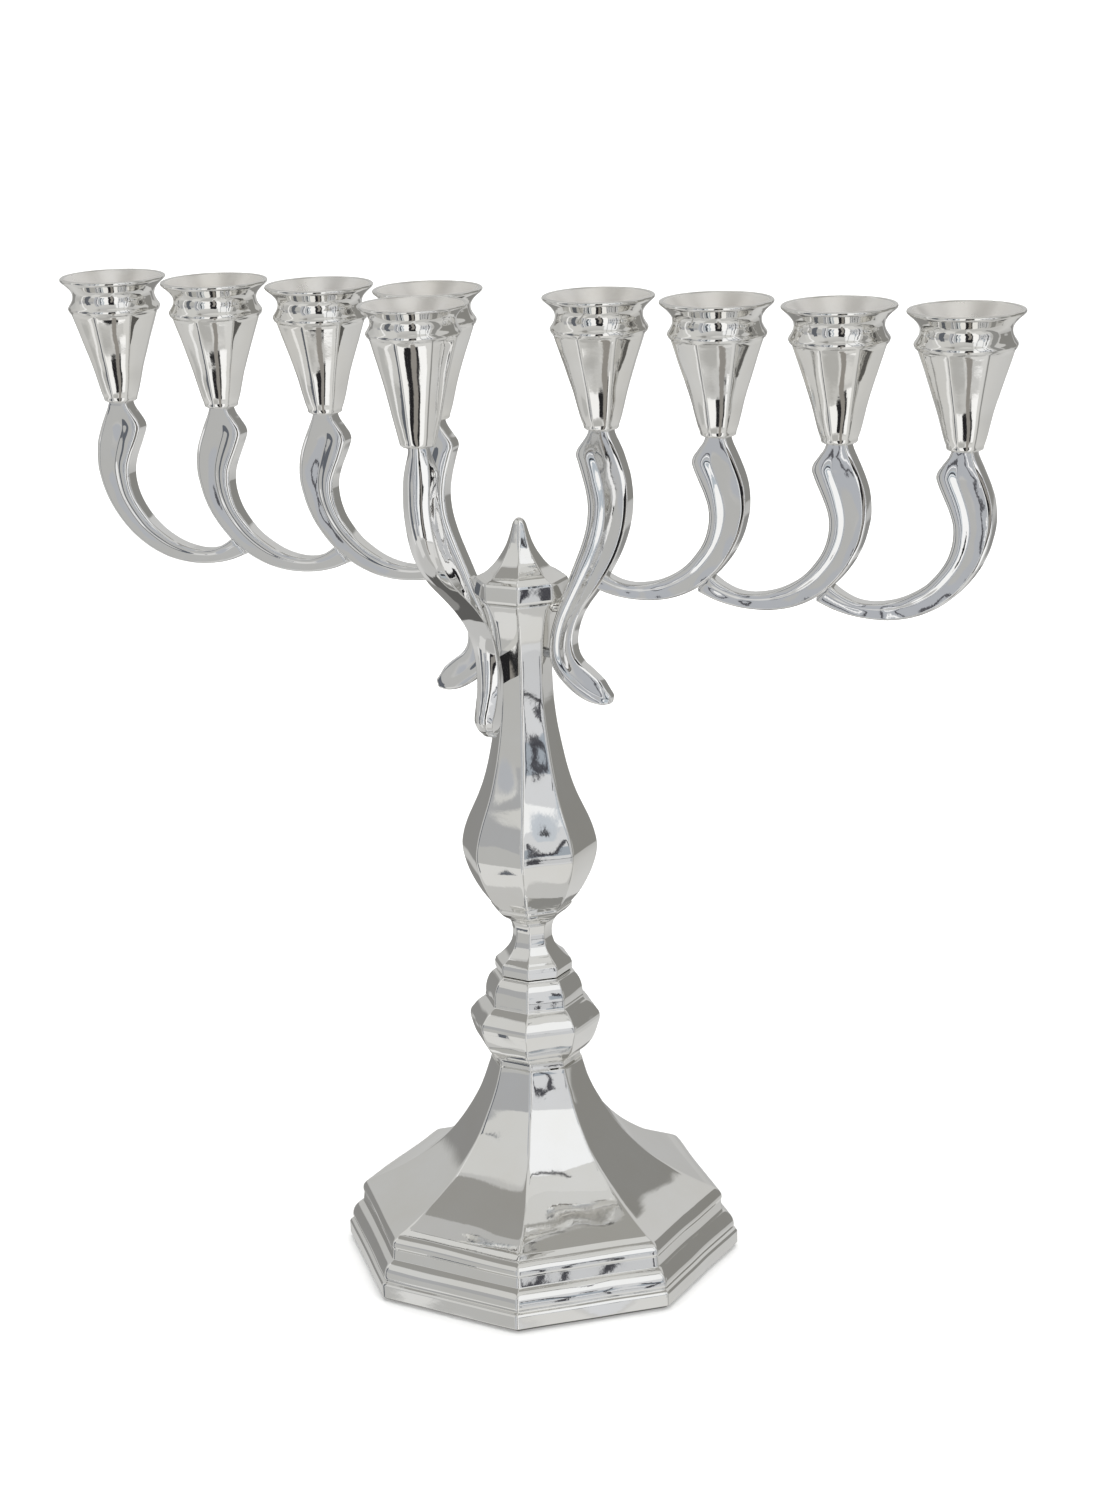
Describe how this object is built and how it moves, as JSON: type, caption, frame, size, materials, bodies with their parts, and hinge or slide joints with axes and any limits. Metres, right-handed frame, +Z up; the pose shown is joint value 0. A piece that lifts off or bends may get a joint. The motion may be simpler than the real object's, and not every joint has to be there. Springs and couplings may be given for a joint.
{
  "type": "menorah",
  "caption": "Branched candelabrum: octagonal stepped foot, faceted baluster stem with a pointed finial, mirrored wings of curved arms and a forward arm, every arm with a flared cup.",
  "frame": {"origin": "on the stem's axis at the underside of the foot's felt", "axes": "+Z up the stem; the two wings spread along +X and -X; the ninth arm reaches forward along -Y"},
  "size_m": [0.3442, 0.1544, 0.3492],
  "materials": {
    "polished_silver": "mirror polished silver-coloured casting",
    "steel": "zinc-plated hardware",
    "felt": "black felt",
    "ballast": "raw cast weight"
  },
  "bodies": {
    "frame": {"foot_shell": "polished_silver", "knop": "polished_silver", "spool": "polished_silver", "column": "polished_silver", "wing_lugs": "polished_silver", "shamash_lug": "polished_silver", "shamash_arm": "polished_silver", "left_arm_1": "polished_silver", "left_arm_2": "polished_silver", "left_arm_3": "polished_silver", "left_arm_4": "polished_silver", "right_arm_1": "polished_silver", "right_arm_2": "polished_silver", "right_arm_3": "polished_silver", "right_arm_4": "polished_silver", "base_screws": "steel", "tie_rod": "steel", "rod_nut": "steel", "rod_washer": "steel", "arm_pins": "steel", "cup_studs": "steel", "base_plate": "steel", "felt_pad": "felt", "ballast": "ballast"},
    "left_cup_1": {"left_cup_1": "polished_silver"},
    "right_cup_1": {"right_cup_1": "polished_silver"},
    "left_cup_2": {"left_cup_2": "polished_silver"},
    "right_cup_2": {"right_cup_2": "polished_silver"},
    "left_cup_3": {"left_cup_3": "polished_silver"},
    "right_cup_3": {"right_cup_3": "polished_silver"},
    "left_cup_4": {"left_cup_4": "polished_silver"},
    "right_cup_4": {"right_cup_4": "polished_silver"},
    "shamash_cup": {"shamash_cup": "polished_silver"},
    "finial": {"finial": "polished_silver"}
  },
  "joints": [
    {"name": "left_cup_1_lift", "type": "slide", "parent": "frame", "child": "left_cup_1", "axis": [0, 0, 1], "range_m": [0, 0.012]},
    {"name": "right_cup_1_lift", "type": "slide", "parent": "frame", "child": "right_cup_1", "axis": [0, 0, 1], "range_m": [0, 0.012]},
    {"name": "left_cup_2_lift", "type": "slide", "parent": "frame", "child": "left_cup_2", "axis": [0, 0, 1], "range_m": [0, 0.012]},
    {"name": "right_cup_2_lift", "type": "slide", "parent": "frame", "child": "right_cup_2", "axis": [0, 0, 1], "range_m": [0, 0.012]},
    {"name": "left_cup_3_lift", "type": "slide", "parent": "frame", "child": "left_cup_3", "axis": [0, 0, 1], "range_m": [0, 0.012]},
    {"name": "right_cup_3_lift", "type": "slide", "parent": "frame", "child": "right_cup_3", "axis": [0, 0, 1], "range_m": [0, 0.012]},
    {"name": "left_cup_4_lift", "type": "slide", "parent": "frame", "child": "left_cup_4", "axis": [0, 0, 1], "range_m": [0, 0.012]},
    {"name": "right_cup_4_lift", "type": "slide", "parent": "frame", "child": "right_cup_4", "axis": [0, 0, 1], "range_m": [0, 0.012]},
    {"name": "shamash_cup_lift", "type": "slide", "parent": "frame", "child": "shamash_cup", "axis": [0, 0, 1], "range_m": [0, 0.012]},
    {"name": "finial_lift", "type": "slide", "parent": "frame", "child": "finial", "axis": [0, 0, 1], "range_m": [0, 0.012]}
  ]
}
